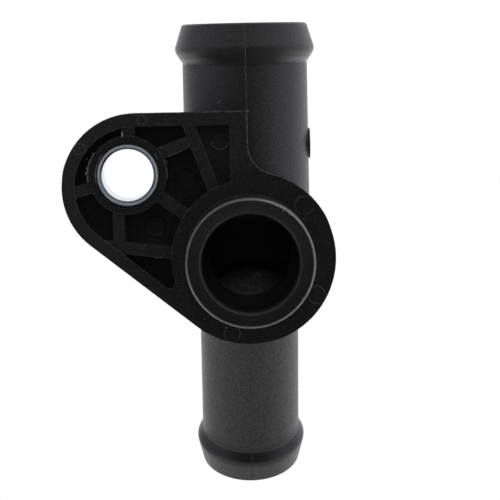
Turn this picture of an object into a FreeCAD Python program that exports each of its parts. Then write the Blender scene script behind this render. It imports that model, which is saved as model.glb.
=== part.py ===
import FreeCAD, Part
import math
import os
import Sketcher
from FreeCAD import Placement, Rotation, Vector

# Coolant flange: a moulded plastic housing that plugs into an engine's coolant port with a short
# spigot, is held by one bolt through a ribbed lug, and joins two hose stubs.
# A zinc-plated steel sleeve in the lug takes the bolt's clamping force.
# Millimetres. The origin is on the spigot's axis in the plane of the mating face.
# The spigot points along -Y, the upper hose stub along +Z, and the bolt hole lies towards -X.

# Driving sizes. Each one is set here and nowhere else.
SIZES = {
    # flange plate
    "ring_radius": 14.0,
    "plate_thickness": 7.5,
    "lug_radius": 11.9,
    "lug_shift_right": 1.2,
    "lug_shift_down": 2.0,
    "corner_radius": 4.8,
    # bolt boss and its steel sleeve
    "bolt_reach": 19.4,
    "bolt_rise": 13.8,
    "boss_radius": 6.35,
    "boss_length": 12.5,
    "boss_root": 0.8,
    "sleeve_diameter": 9.8,
    "sleeve_bore": 8.4,
    "sleeve_chamfer": 0.3,
    "sleeve_proud": 0.2,
    "sleeve_gap": 0.02,
    # hollows of the lug and the ribs between them
    "pocket_depth": 5.2,
    "shallow_depth": 2.5,
    "rim_wall": 2.1,
    "mould_wall": 2.8,
    "hub_wall": 1.4,
    "tip_radius": 0.9,
    "rib_width": 1.9,
    "rib_recess": 0.3,
    "top_shift": 0.3,
    "slant_reach": 9.8,
    "slant_angle": 69.8,
    "brace_rise": 1.3,
    "brace_angle": 21.4,
    "side_angle": 17.5,
    "drop_shift": 1.55,
    "foot_rise": 2.1,
    "foot_angle": 7.0,
    # spigot
    "spigot_radius": 10.3,
    "spigot_length": 13.5,
    "spigot_lead": 0.4,
    "mouth_radius": 7.75,
    "mouth_depth": 8.0,
    "mouth_chamfer": 0.4,
    "throat_radius": 6.5,
    "throat_taper": 3.0,
    # hose stubs
    "stub_setback": 13.0,
    "upper_radius": 10.28,
    "upper_length": 38.0,
    "upper_wall": 2.18,
    "upper_bead_height": 1.2,
    "upper_bead_setback": 4.1,
    "upper_bead_round": 1.45,
    "bead_back": 57.0,
    "lower_radius": 8.22,
    "lower_length": 41.5,
    "lower_wall": 2.22,
    "lower_bead_height": 0.9,
    "lower_bead_setback": 4.3,
    "lower_bead_round": 1.2,
    "lower_tilt": 30.0,
    "elbow_blend_ratio": 1.16,
    "back_root": 0.8,
    "stub_edge": 0.25,
    # raised round pad on the side of the upper stub
    "pad_radius": 2.5,
    "pad_rise": 18.1,
    "pad_height": 0.25,
}

doc = FreeCAD.newDocument("coolant_flange")
sheet = doc.addObject("Spreadsheet::Sheet", "Sizes")
for row, (alias, value) in enumerate(SIZES.items(), start=1):
    sheet.set(f"A{row}", alias)
    sheet.set(f"B{row}", str(value))
    sheet.setAlias(f"B{row}", alias)
doc.recompute()


def cell(alias):
    """The name of a size in an expression."""
    return "Sizes." + alias


def size(alias):
    """The value of a size, for the first guess of a sketch."""
    return float(sheet.get(alias))


def new_body(name):
    body = doc.addObject("PartDesign::Body", name)
    body.Label = name
    return body


def new_sketch(body, name, plane, x=None, y=None, z=None, angle=None):
    """A sketch on one of the body's origin planes, moved and turned in that plane by expressions."""
    sketch = body.newObject("Sketcher::SketchObject", name)
    support = next(item for item in body.Origin.OriginFeatures if item.Role == plane)
    sketch.AttachmentSupport = [(support, "")]
    sketch.MapMode = "FlatFace"
    sketch.AttachmentOffset = Placement(Vector(), Rotation(Vector(0, 0, 1), 1.0))
    sketch.setExpression("AttachmentOffset.Rotation.Angle", angle or "0")
    for path, expression in (("x", x), ("y", y), ("z", z)):
        if expression:
            sketch.setExpression("AttachmentOffset.Base." + path, expression)
    return sketch


def dimension(sketch, name, expression, kind, *where):
    """A named dimension that follows the sheet."""
    index = sketch.addConstraint(Sketcher.Constraint(kind, *where))
    sketch.renameConstraint(index, name)
    sketch.setExpression("Constraints." + name, expression)


def join(sketch, *pairs):
    """Coincident ends, each given as (curve, end, curve, end)."""
    for pair in pairs:
        sketch.addConstraint(Sketcher.Constraint("Coincident", *pair))


def relate(sketch, kind, *groups):
    for group in groups:
        sketch.addConstraint(Sketcher.Constraint(kind, *group))


def line(sketch, start, end):
    return sketch.addGeometry(Part.LineSegment(Vector(*start, 0), Vector(*end, 0)), False)


def arc(sketch, centre, radius, start_angle, end_angle):
    """A counter-clockwise arc, its angles in radians."""
    circle = Part.Circle(Vector(*centre, 0), Vector(0, 0, 1), radius)
    return sketch.addGeometry(Part.ArcOfCircle(circle, start_angle, end_angle), False)


def circle(sketch, centre, radius):
    return sketch.addGeometry(Part.Circle(Vector(*centre, 0), Vector(0, 0, 1), radius), False)


def extrude(body, kind, name, sketch, length, backwards=False):
    feature = body.newObject(kind, name)
    feature.Profile = sketch
    feature.setExpression("Length", length)
    feature.Reversed = backwards
    return feature


def revolve(body, kind, name, sketch, axis):
    feature = body.newObject(kind, name)
    feature.Profile = sketch
    feature.ReferenceAxis = (sketch, [axis])
    feature.Angle = 360.0
    return feature


def edges_where(feature, test):
    """The names of the feature's edges that pass a test."""
    doc.recompute()
    found = [f"Edge{number}" for number, edge in enumerate(feature.Shape.Edges, start=1) if test(edge)]
    if not found:
        raise RuntimeError(f"no edge of {feature.Name} is the one wanted")
    return found


def dress(body, kind, name, base, edges, sizing, expression):
    feature = body.newObject(kind, name)
    feature.Base = (base, edges)
    feature.setExpression(sizing, expression)
    return feature


def is_round(edge, radius, centre):
    """Whether an edge runs along the circle of this radius about this point."""
    return (
        isinstance(edge.Curve, Part.Circle)
        and abs(edge.Curve.Radius - radius) < 1e-4
        and edge.Curve.Center.distanceToPoint(centre) < 1e-4
    )


# The meeting point of the bores' axes and the direction in which the lower stub leaves it.
LOWER_TURN = f"180 + {cell('lower_tilt')}"
JUNCTION = Vector(0, size("stub_setback"), 0)
LOWER_LINE = Vector(
    0,
    math.sin(math.radians(size("lower_tilt"))),
    -math.cos(math.radians(size("lower_tilt"))),
)


def at_stub_mouth(edge):
    """Whether an edge runs round the outside of a hose stub at its open end."""
    upper_mouth = JUNCTION + Vector(0, 0, size("upper_length"))
    lower_mouth = JUNCTION + LOWER_LINE * size("lower_length")
    return is_round(edge, size("upper_radius"), upper_mouth) or is_round(
        edge, size("lower_radius"), lower_mouth
    )


def behind_plate(edge):
    """Whether an edge runs where the stubs or their ball come out of the plate's back."""
    middle = edge.valueAt((edge.FirstParameter + edge.LastParameter) / 2)
    on_back = all(abs(point.y - size("plate_thickness")) < 1e-4 for point in edge.discretize(5))
    from_junction = middle - JUNCTION
    from_lower_axis = (from_junction - LOWER_LINE * from_junction.dot(LOWER_LINE)).Length
    from_upper_axis = math.hypot(from_junction.x, from_junction.y)
    on_ball = abs(from_junction.Length - size("upper_radius")) < 1e-3
    on_upper = abs(from_upper_axis - size("upper_radius")) < 1e-3
    on_lower = abs(from_lower_axis - size("lower_radius")) < 1e-3
    return on_back and (on_ball or on_upper or on_lower)


# The lug's outer arc, its place beside the bolt hole and the straight top edge that it runs into.
LUG_LEFT = f"({cell('bolt_reach')} - {cell('lug_shift_right')})"
LUG_RISE = f"({cell('bolt_rise')} - {cell('lug_shift_down')})"
lug_centre = (
    size("lug_shift_right") - size("bolt_reach"),
    size("bolt_rise") - size("lug_shift_down"),
)
lug_distance = math.hypot(*lug_centre)


def lower_edge_normal():
    """The angle of the outward normal of the straight lower edge, a tangent of both outer arcs."""
    turn = math.acos((size("ring_radius") - size("lug_radius")) / lug_distance)
    return math.atan2(lug_centre[1], lug_centre[0]) + turn


def on_circle(centre, radius, angle):
    return centre[0] + radius * math.cos(angle), centre[1] + radius * math.sin(angle)


def place_lug_arc(sketch, curve):
    dimension(sketch, "lug_left", LUG_LEFT, "DistanceX", curve, 3, -1, 1, -lug_centre[0])
    dimension(sketch, "lug_rise", LUG_RISE, "DistanceY", -1, 1, curve, 3, lug_centre[1])


def plate_outline(body):
    """Ring, lug arc, straight top, the edge on the mould's parting plane and the hollow corner."""
    sketch = new_sketch(body, "plate_outline", "XZ_Plane")
    ring, lug, corner = size("ring_radius"), size("lug_radius"), size("corner_radius")
    top = lug_centre[1] + lug
    corner_centre = (corner, math.sqrt((ring + corner) ** 2 - corner ** 2))
    corner_angle = math.atan2(corner_centre[1], corner_centre[0])
    normal = lower_edge_normal()

    top_edge = line(sketch, (lug_centre[0], top), (0, top))
    side_edge = line(sketch, (0, top), (0, corner_centre[1]))
    corner_arc = arc(sketch, corner_centre, corner, math.pi, math.pi + corner_angle)
    ring_arc = arc(sketch, (0, 0), ring, normal - 2 * math.pi, corner_angle)
    lower_edge = line(sketch, on_circle((0, 0), ring, normal), on_circle(lug_centre, lug, normal))
    lug_arc = arc(sketch, lug_centre, lug, math.pi / 2, normal)

    relate(sketch, "Horizontal", (top_edge,))
    relate(sketch, "Vertical", (side_edge,))
    relate(sketch, "PointOnObject", (side_edge, 1, -2))
    join(sketch, (top_edge, 2, side_edge, 1), (ring_arc, 3, -1, 1))
    relate(
        sketch,
        "Tangent",
        (side_edge, 2, corner_arc, 1),
        (corner_arc, 2, ring_arc, 2),
        (ring_arc, 1, lower_edge, 1),
        (lower_edge, 2, lug_arc, 2),
        (lug_arc, 1, top_edge, 1),
    )
    place_lug_arc(sketch, lug_arc)
    dimension(sketch, "ring", cell("ring_radius"), "Radius", ring_arc, ring)
    dimension(sketch, "lug", cell("lug_radius"), "Radius", lug_arc, lug)
    dimension(sketch, "corner", cell("corner_radius"), "Radius", corner_arc, corner)
    return sketch


def hollow_outline(body):
    """The hollow of the lug before its ribs: the outline moved in by the rim wall, and the hub."""
    sketch = new_sketch(body, "hollow_outline", "XZ_Plane")
    wall, tip = size("rim_wall"), size("tip_radius")
    hub = size("ring_radius") - size("hub_wall")
    inner = size("lug_radius") - wall
    top = lug_centre[1] + inner
    right = -size("mould_wall")
    right_foot = math.sqrt(hub ** 2 - right ** 2)
    normal = lower_edge_normal()
    along = normal - math.pi / 2
    tip_out = size("ring_radius") - wall - tip
    tip_along = math.sqrt((hub + tip) ** 2 - tip_out ** 2)
    tip_centre = on_circle(on_circle((0, 0), tip_out, normal), tip_along, along)
    tip_angle = math.atan2(tip_centre[1], tip_centre[0])

    top_edge = line(sketch, (lug_centre[0], top), (right, top))
    side_edge = line(sketch, (right, top), (right, right_foot))
    hub_arc = arc(sketch, (0, 0), hub, math.atan2(right_foot, right), tip_angle + 2 * math.pi)
    tip_arc = arc(sketch, tip_centre, tip, normal, tip_angle + 3 * math.pi)
    lower_edge = line(sketch, on_circle(tip_centre, tip, normal), on_circle(lug_centre, inner, normal))
    lug_arc = arc(sketch, lug_centre, inner, math.pi / 2, normal)

    relate(sketch, "Horizontal", (top_edge,))
    relate(sketch, "Vertical", (side_edge,))
    join(
        sketch,
        (top_edge, 2, side_edge, 1),
        (side_edge, 2, hub_arc, 1),
        (hub_arc, 3, -1, 1),
    )
    relate(
        sketch,
        "Tangent",
        (hub_arc, 2, tip_arc, 2),
        (tip_arc, 1, lower_edge, 1),
        (lower_edge, 2, lug_arc, 2),
        (lug_arc, 1, top_edge, 1),
    )
    place_lug_arc(sketch, lug_arc)
    inner_lug = f"{cell('lug_radius')} - {cell('rim_wall')}"
    lower_gap = f"{cell('ring_radius')} - {cell('rim_wall')}"
    hub_size = f"{cell('ring_radius')} - {cell('hub_wall')}"
    dimension(sketch, "inner_lug", inner_lug, "Radius", lug_arc, inner)
    dimension(sketch, "hub", hub_size, "Radius", hub_arc, hub)
    dimension(sketch, "tip", cell("tip_radius"), "Radius", tip_arc, tip)
    dimension(sketch, "mould_wall", cell("mould_wall"), "DistanceX", side_edge, 1, -1, 1, -right)
    dimension(sketch, "lower_gap", lower_gap, "Distance", -1, 1, lower_edge, size("ring_radius") - wall)
    return sketch


def rib_slot(core, name, x, z, angle, reach):
    """The room for one rib, cut out of the core from a point along a direction in the XZ plane."""
    sketch = new_sketch(core, name + "_sketch", "XZ_Plane", x, z, "-" + cell("rib_recess"), angle)
    half, long = size("rib_width") / 2, 20.0
    lower = line(sketch, (0, -half), (long, -half))
    far = line(sketch, (long, -half), (long, half))
    upper = line(sketch, (long, half), (0, half))
    near = line(sketch, (0, half), (0, -half))
    join(sketch, (lower, 2, far, 1), (far, 2, upper, 1), (upper, 2, near, 1), (near, 2, lower, 1))
    relate(sketch, "Horizontal", (lower,), (upper,))
    relate(sketch, "Vertical", (far,))
    relate(sketch, "Symmetric", (near, 1, near, 2, -1, 1))
    dimension(sketch, "width", cell("rib_width"), "DistanceY", near, 2, near, 1, 2 * half)
    dimension(sketch, "reach", reach, "DistanceX", lower, 1, lower, 2, long)
    extrude(core, "PartDesign::Pocket", name, sketch, cell("pocket_depth"))


def shallow_floor(core, x, z, angle):
    """Ends the core early beside the slanted rib, where the upper stub lies under the floor."""
    sketch = new_sketch(core, "shallow_floor_sketch", "XZ_Plane", x, z, "-" + cell("shallow_depth"), angle)
    long, wide = size("bolt_reach"), size("lug_radius")
    lower = line(sketch, (0, 0), (long, 0))
    far = line(sketch, (long, 0), (long, wide))
    upper = line(sketch, (long, wide), (0, wide))
    near = line(sketch, (0, wide), (0, 0))
    join(sketch, (lower, 2, far, 1), (far, 2, upper, 1), (upper, 2, near, 1), (near, 2, lower, 1))
    join(sketch, (lower, 1, -1, 1))
    relate(sketch, "Horizontal", (lower,), (upper,))
    relate(sketch, "Vertical", (far,), (near,))
    dimension(sketch, "long", cell("bolt_reach"), "DistanceX", lower, 1, lower, 2, long)
    dimension(sketch, "wide", cell("lug_radius"), "DistanceY", near, 2, near, 1, wide)
    extrude(core, "PartDesign::Pocket", "shallow_floor", sketch, cell("pocket_depth"))


def lug_core():
    """What the mould's core takes out of the lug: its hollow, less the room for seven ribs."""
    core = new_body("lug_core")
    hollow = hollow_outline(core)
    extrude(core, "PartDesign::Pad", "hollow", hollow, cell("pocket_depth"), backwards=True)

    bolt_x, bolt_z = "-" + cell("bolt_reach"), cell("bolt_rise")
    far = f"{cell('bolt_reach')} + {cell('lug_radius')}"
    slant_x = "-" + cell("slant_reach")
    slant_z = f"{LUG_RISE} + {cell('lug_radius')} - {cell('rim_wall')} / 2"
    slant_turn = "-" + cell("slant_angle")
    brace_z = f"{cell('bolt_rise')} + {cell('brace_rise')}"
    # The brace ends on the slanted rib's centre line, whose normal is (sin, cos) of its angle.
    across = f"sin({cell('slant_angle')})"
    up = f"cos({cell('slant_angle')})"
    brace_run = f"({cell('bolt_reach')} - {cell('slant_reach')})"
    brace_gap = f"(({slant_z}) - ({brace_z})) * {up} + {brace_run} * {across}"
    brace_pace = f"cos({cell('brace_angle')}) * {across} + sin({cell('brace_angle')}) * {up}"
    drop_x = f"-({cell('bolt_reach')} + {cell('drop_shift')})"
    hub_turn = f"-atan2({cell('bolt_rise')}; {cell('bolt_reach')})"
    top_x = f"-({cell('bolt_reach')} - {cell('top_shift')})"
    # The foot rib runs on past the drop rib into the rim.
    foot_x = f"{drop_x} - 2 * {cell('rib_width')}"
    foot_z = f"{cell('foot_rise')} + 2 * {cell('rib_width')} * tan({cell('foot_angle')})"
    for name, x, z, angle, reach in (
        ("top_rib", top_x, bolt_z, "90", far),
        ("slant_rib", slant_x, slant_z, slant_turn, far),
        ("brace_rib", bolt_x, brace_z, cell("brace_angle"), f"({brace_gap}) / ({brace_pace})"),
        ("hub_rib", bolt_x, bolt_z, hub_turn, cell("bolt_reach")),
        ("side_rib", bolt_x, bolt_z, f"180 + {cell('side_angle')}", far),
        ("drop_rib", drop_x, bolt_z, "-90", cell("bolt_rise")),
        ("foot_rib", foot_x, foot_z, "-" + cell("foot_angle"), cell("bolt_reach")),
    ):
        rib_slot(core, name, x, z, angle, reach)
    shallow_floor(core, slant_x, slant_z, slant_turn)
    return core


def stub_sketch(body, name, angle):
    """A sketch whose origin is the meeting point of the bores and whose upright is the stub's axis."""
    return new_sketch(body, name, "YZ_Plane", x=cell("stub_setback"), angle=angle)


def hose_stub(body, which, angle):
    """A tube with a barb-like bead: a cone up from the mouth, a round crest and a steep back.

    The back leans away from square to the axis by the size bead_back, like the mould's own draft.
    """
    sketch = stub_sketch(body, which + "_outline", angle)
    radius, length = size(which + "_radius"), size(which + "_length")
    bead_round = size(which + "_bead_round")
    crest = radius + size(which + "_bead_height")
    centre = (crest - bead_round, length - size(which + "_bead_setback"))
    # The cone starts at the mouth's edge and is a tangent of the crest.
    to_centre = (centre[0] - radius, centre[1] - length)
    lean = math.asin(bead_round / math.hypot(*to_centre))
    touch = math.atan2(to_centre[1], to_centre[0]) + lean + math.pi / 2
    back_lean = math.radians(size("bead_back"))
    back_start = on_circle(centre, bead_round, back_lean - math.pi / 2)
    back_foot = (radius, back_start[1] - (back_start[0] - radius) * math.tan(back_lean))

    base = line(sketch, (0, 0), (radius, 0))
    wall = line(sketch, (radius, 0), back_foot)
    back = line(sketch, back_foot, back_start)
    bead = arc(sketch, centre, bead_round, back_lean - math.pi / 2, touch)
    cone = line(sketch, on_circle(centre, bead_round, touch), (radius, length))
    mouth = line(sketch, (radius, length), (0, length))
    axis = line(sketch, (0, length), (0, 0))
    join(
        sketch,
        (base, 1, -1, 1),
        (base, 2, wall, 1),
        (wall, 2, back, 1),
        (cone, 2, mouth, 1),
        (mouth, 2, axis, 1),
        (axis, 2, base, 1),
    )
    relate(sketch, "Tangent", (back, 2, bead, 1), (bead, 2, cone, 1))
    relate(sketch, "Horizontal", (base,), (mouth,))
    relate(sketch, "Vertical", (wall,), (axis,))
    crest_radius = f"{cell(which + '_radius')} + {cell(which + '_bead_height')}"
    crest_centre = f"{crest_radius} - {cell(which + '_bead_round')}"
    dimension(sketch, "radius", cell(which + "_radius"), "DistanceX", base, 1, base, 2, radius)
    dimension(sketch, "mouth", cell(which + "_radius"), "DistanceX", mouth, 2, mouth, 1, radius)
    dimension(sketch, "length", cell(which + "_length"), "DistanceY", axis, 2, axis, 1, length)
    dimension(sketch, "bead_round", cell(which + "_bead_round"), "Radius", bead, bead_round)
    back_turn = f"90 + {cell('bead_back')}"
    dimension(sketch, "back_lean", back_turn, "Angle", wall, 2, back, 1, math.pi / 2 + back_lean)
    dimension(sketch, "crest", crest_centre, "DistanceX", -1, 1, bead, 3, centre[0])
    dimension(
        sketch,
        "setback",
        cell(which + "_bead_setback"),
        "DistanceY",
        bead,
        3,
        mouth,
        1,
        length - centre[1],
    )
    return revolve(body, "PartDesign::Revolution", which + "_stub", sketch, "V_Axis")


def stub_bore(body, which, angle):
    """The bore of a stub, open at its mouth and with a core pin's round end past the junction."""
    sketch = stub_sketch(body, which + "_bore_outline", angle)
    radius = size(which + "_radius") - size(which + "_wall")
    length = size(which + "_length")
    bore = f"({cell(which + '_radius')} - {cell(which + '_wall')})"
    end = arc(sketch, (0, 0), radius, -math.pi / 2, 0)
    wall = line(sketch, (radius, 0), (radius, length))
    mouth = line(sketch, (radius, length), (0, length))
    axis = line(sketch, (0, length), (0, -radius))
    join(
        sketch,
        (end, 3, -1, 1),
        (wall, 2, mouth, 1),
        (mouth, 2, axis, 1),
        (axis, 2, end, 1),
    )
    relate(sketch, "Tangent", (end, 2, wall, 1))
    relate(sketch, "Vertical", (wall,), (axis,))
    relate(sketch, "Horizontal", (mouth,))
    relate(sketch, "PointOnObject", (axis, 1, -2))
    dimension(sketch, "radius", bore, "Radius", end, radius)
    dimension(sketch, "length", cell(which + "_length"), "DistanceY", -1, 1, mouth, 1, length)
    return revolve(body, "PartDesign::Groove", which + "_bore", sketch, "V_Axis")


def spigot_bore(body):
    """The spigot's bore: straight at the mouth, then a short taper down to the throat."""
    sketch = new_sketch(body, "spigot_bore_outline", "YZ_Plane")
    front = -size("spigot_length")
    knee = front + size("mouth_depth")
    mouth, throat = size("mouth_radius"), size("throat_radius")
    start, back = knee + size("throat_taper"), size("stub_setback")
    points = [(front, 0), (front, mouth), (knee, mouth), (start, throat), (back, throat), (back, 0)]
    face, straight, taper, narrow, end, axis = (
        line(sketch, points[index], points[(index + 1) % len(points)]) for index in range(len(points))
    )
    join(
        sketch,
        (face, 2, straight, 1),
        (straight, 2, taper, 1),
        (taper, 2, narrow, 1),
        (narrow, 2, end, 1),
        (end, 2, axis, 1),
        (axis, 2, face, 1),
    )
    relate(sketch, "Vertical", (face,), (end,))
    relate(sketch, "Horizontal", (straight,), (narrow,))
    relate(sketch, "PointOnObject", (axis, 1, -1), (axis, 2, -1))
    dimension(sketch, "front", cell("spigot_length"), "DistanceX", face, 1, -1, 1, -front)
    dimension(sketch, "depth", cell("mouth_depth"), "DistanceX", straight, 1, straight, 2, knee - front)
    dimension(sketch, "taper", cell("throat_taper"), "DistanceX", taper, 1, taper, 2, start - knee)
    dimension(sketch, "back", cell("stub_setback"), "DistanceX", -1, 1, end, 2, back)
    dimension(sketch, "mouth", cell("mouth_radius"), "DistanceY", face, 1, face, 2, mouth)
    dimension(sketch, "throat", cell("throat_radius"), "DistanceY", end, 2, end, 1, throat)
    return revolve(body, "PartDesign::Groove", "spigot_bore", sketch, "H_Axis")


def bolt_circle(body, name, radius, expression):
    """A circle about the bolt hole's axis."""
    sketch = new_sketch(body, name, "XZ_Plane", "-" + cell("bolt_reach"), cell("bolt_rise"))
    ring = circle(sketch, (0, 0), radius)
    join(sketch, (ring, 3, -1, 1))
    dimension(sketch, "radius", expression, "Radius", ring, radius)
    return sketch


def housing(core):
    """The moulded housing, in one piece."""
    body = new_body("housing")
    outline = plate_outline(body)
    extrude(body, "PartDesign::Pad", "plate", outline, cell("plate_thickness"), backwards=True)
    hollow = body.newObject("PartDesign::Boolean", "lug_hollow")
    hollow.Type = "Cut"
    hollow.addObjects([core])
    boss_sketch = bolt_circle(body, "boss_circle", size("boss_radius"), cell("boss_radius"))
    boss = extrude(body, "PartDesign::Pad", "boss", boss_sketch, cell("boss_length"), backwards=True)
    boss_foot = Vector(-size("bolt_reach"), size("plate_thickness"), size("bolt_rise"))
    foot_edges = edges_where(boss, lambda edge: is_round(edge, size("boss_radius"), boss_foot))
    dress(body, "PartDesign::Chamfer", "boss_root", boss, foot_edges, "Size", cell("boss_root"))

    # The stubs come behind the plate and fill its hollow again where they reach into it.
    # They meet in a ball, and the narrower one leaves it through a blend.
    hose_stub(body, "upper", "0")
    ball = body.newObject("PartDesign::AdditiveSphere", "elbow_ball")
    ball.setExpression("Radius", cell("upper_radius"))
    support = next(item for item in body.Origin.OriginFeatures if item.Role == "XY_Plane")
    ball.AttachmentSupport = [(support, "")]
    ball.MapMode = "FlatFace"
    ball.setExpression("AttachmentOffset.Base.y", cell("stub_setback"))
    lower = hose_stub(body, "lower", LOWER_TURN)
    neck = math.sqrt(size("upper_radius") ** 2 - size("lower_radius") ** 2)
    neck_centre = JUNCTION + LOWER_LINE * neck
    neck_edges = edges_where(lower, lambda edge: is_round(edge, size("lower_radius"), neck_centre))
    elbow_step = f"({cell('upper_radius')} - {cell('lower_radius')})"
    elbow_size = f"{cell('elbow_blend_ratio')} * {elbow_step}"
    dress(body, "PartDesign::Fillet", "elbow_blend", lower, neck_edges, "Radius", elbow_size)

    pad_sketch = new_sketch(body, "pad_circle", "YZ_Plane", cell("stub_setback"), cell("pad_rise"))
    pad_ring = circle(pad_sketch, (0, 0), size("pad_radius"))
    join(pad_sketch, (pad_ring, 3, -1, 1))
    dimension(pad_sketch, "radius", cell("pad_radius"), "Radius", pad_ring, size("pad_radius"))
    pad_length = f"{cell('upper_radius')} + {cell('pad_height')}"
    extrude(body, "PartDesign::Pad", "side_pad", pad_sketch, pad_length)

    spigot_sketch = new_sketch(body, "spigot_circle", "XZ_Plane")
    spigot_ring = circle(spigot_sketch, (0, 0), size("spigot_radius"))
    join(spigot_sketch, (spigot_ring, 3, -1, 1))
    dimension(spigot_sketch, "radius", cell("spigot_radius"), "Radius", spigot_ring, size("spigot_radius"))
    spigot = extrude(body, "PartDesign::Pad", "spigot", spigot_sketch, cell("spigot_length"))
    back_edges = edges_where(spigot, behind_plate)
    dress(body, "PartDesign::Chamfer", "back_root", spigot, back_edges, "Size", cell("back_root"))

    # The bores open into one another round the point where their axes meet.
    stub_bore(body, "upper", "0")
    stub_bore(body, "lower", LOWER_TURN)
    bore = spigot_bore(body)
    hole_radius = size("sleeve_diameter") / 2 + size("sleeve_gap")
    hole_size = f"{cell('sleeve_diameter')} / 2 + {cell('sleeve_gap')}"
    hole_sketch = bolt_circle(body, "sleeve_hole_circle", hole_radius, hole_size)
    hole = extrude(body, "PartDesign::Pocket", "sleeve_hole", hole_sketch, cell("boss_length"))

    # Eased edges at the three mouths.
    front = Vector(0, -size("spigot_length"), 0)
    rim_edges = edges_where(hole, lambda edge: is_round(edge, size("spigot_radius"), front))
    rim = dress(body, "PartDesign::Chamfer", "spigot_lead", hole, rim_edges, "Size", cell("spigot_lead"))
    lip_edges = edges_where(rim, lambda edge: is_round(edge, size("mouth_radius"), front))
    lip = dress(body, "PartDesign::Chamfer", "mouth_chamfer", rim, lip_edges, "Size", cell("mouth_chamfer"))
    mouth_edges = edges_where(lip, at_stub_mouth)
    dress(body, "PartDesign::Chamfer", "stub_edge", lip, mouth_edges, "Size", cell("stub_edge"))
    return body


def bolt_sleeve():
    """The steel sleeve that carries the bolt's clamping force through the boss."""
    body = new_body("bolt_sleeve")
    body.setExpression("Placement.Base.x", "-" + cell("bolt_reach"))
    body.setExpression("Placement.Base.z", cell("bolt_rise"))
    sketch = new_sketch(body, "sleeve_rings", "XZ_Plane")
    outside = circle(sketch, (0, 0), size("sleeve_diameter") / 2)
    inside = circle(sketch, (0, 0), size("sleeve_bore") / 2)
    join(sketch, (outside, 3, -1, 1), (inside, 3, -1, 1))
    dimension(
        sketch, "outside", cell("sleeve_diameter"), "Diameter", outside, size("sleeve_diameter")
    )
    dimension(sketch, "inside", cell("sleeve_bore"), "Diameter", inside, size("sleeve_bore"))
    length = f"{cell('boss_length')} + {cell('sleeve_proud')}"
    tube = extrude(body, "PartDesign::Pad", "sleeve_tube", sketch, length, backwards=True)
    near_end, far_end = Vector(), Vector(0, size("boss_length") + size("sleeve_proud"), 0)
    bore_radius = size("sleeve_bore") / 2
    bore_ends = edges_where(
        tube,
        lambda edge: is_round(edge, bore_radius, near_end) or is_round(edge, bore_radius, far_end),
    )
    dress(body, "PartDesign::Chamfer", "sleeve_chamfer", tube, bore_ends, "Size", cell("sleeve_chamfer"))
    return body


pieces = [housing(lug_core()), bolt_sleeve()]
doc.recompute()

for item in doc.Objects:
    if "Invalid" in item.State or "Error" in item.State:
        raise RuntimeError(f"{item.Name} failed: {item.State}")
for piece in pieces:
    if piece.Shape.isNull() or not piece.Shape.isValid() or len(piece.Shape.Solids) != 1:
        raise RuntimeError(f"{piece.Label} is not one valid solid")

os.makedirs("parts", exist_ok=True)
for piece in pieces:
    piece.Shape.exportStep(f"parts/{piece.Label}.step")
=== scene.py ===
import math
import random

import bmesh
import bpy
from bpy.props import FloatProperty, FloatVectorProperty, PointerProperty
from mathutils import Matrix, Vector


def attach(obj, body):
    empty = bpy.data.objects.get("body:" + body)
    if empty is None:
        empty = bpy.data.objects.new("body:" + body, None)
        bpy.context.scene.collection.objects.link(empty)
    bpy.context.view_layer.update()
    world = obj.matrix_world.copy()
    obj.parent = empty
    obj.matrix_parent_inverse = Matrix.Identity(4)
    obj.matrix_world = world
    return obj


bl_info = {
    "name": "Coolant flange",
    "version": (1, 0, 0),
    "blender": (4, 5, 0),
    "location": "3D view > Sidebar > Coolant flange",
    "description": "Dresses a moulded coolant flange: plastic, steel sleeve, mould flash and studio",
    "category": "Object",
}

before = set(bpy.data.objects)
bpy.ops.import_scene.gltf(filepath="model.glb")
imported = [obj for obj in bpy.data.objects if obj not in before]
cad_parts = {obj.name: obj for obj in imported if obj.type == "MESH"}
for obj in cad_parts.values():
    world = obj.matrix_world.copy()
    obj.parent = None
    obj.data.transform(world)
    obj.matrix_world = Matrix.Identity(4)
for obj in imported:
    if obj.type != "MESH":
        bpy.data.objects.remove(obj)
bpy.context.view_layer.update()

# Sizes of the solids that the looks and the trim follow, in millimetres. The origin is on the
# spigot's axis in the plane of the mating face, with the spigot along -Y and the upper stub along +Z.
MM = 0.001
RING_RADIUS = 14.0
PLATE_THICKNESS = 7.5
LUG_RADIUS = 11.9
LUG_CENTRE = (-18.2, 11.8)
LUG_TOP = LUG_CENTRE[1] + LUG_RADIUS
CORNER_RADIUS = 4.8
FLOOR_DEPTH = 5.2
SHALLOW_DEPTH = 2.5
BOLT_CENTRE = (-19.4, 13.8)
BOSS_RADIUS = 6.35
SLEEVE_RADIUS = 4.9
SLEEVE_BORE_RADIUS = 4.2
SLEEVE_CHAMFER = 0.3
SPIGOT_RADIUS = 10.3
SPIGOT_LENGTH = 13.5
# The painted shade and painted highlight of the spigot, and the bore's mouth, are centred this far below
# the axis.
SPIGOT_PAINT_DROP = 0.05
MOUTH_RADIUS = 7.75
THROAT_RADIUS = 6.5
THROAT_END = 8.17
STUB_SETBACK = 13.0
STUB_CHAMFER = 0.3
BEAD_BACK = math.radians(57)
UPPER_STUB = {
    "radius": 10.28,
    "length": 38.0,
    "bead_height": 1.2,
    "bead_setback": 4.1,
    "bead_round": 1.45,
    "along": Vector((0, 0, 1)),
    "front": Vector((0, -1, 0)),
}
LOWER_STUB = {
    "radius": 8.22,
    "length": 41.5,
    "bead_height": 0.9,
    "bead_setback": 4.3,
    "bead_round": 1.2,
    "along": Vector((0, 0.5, -math.sqrt(0.75))),
    "front": Vector((0, -math.sqrt(0.75), -0.5)),
}
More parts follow.
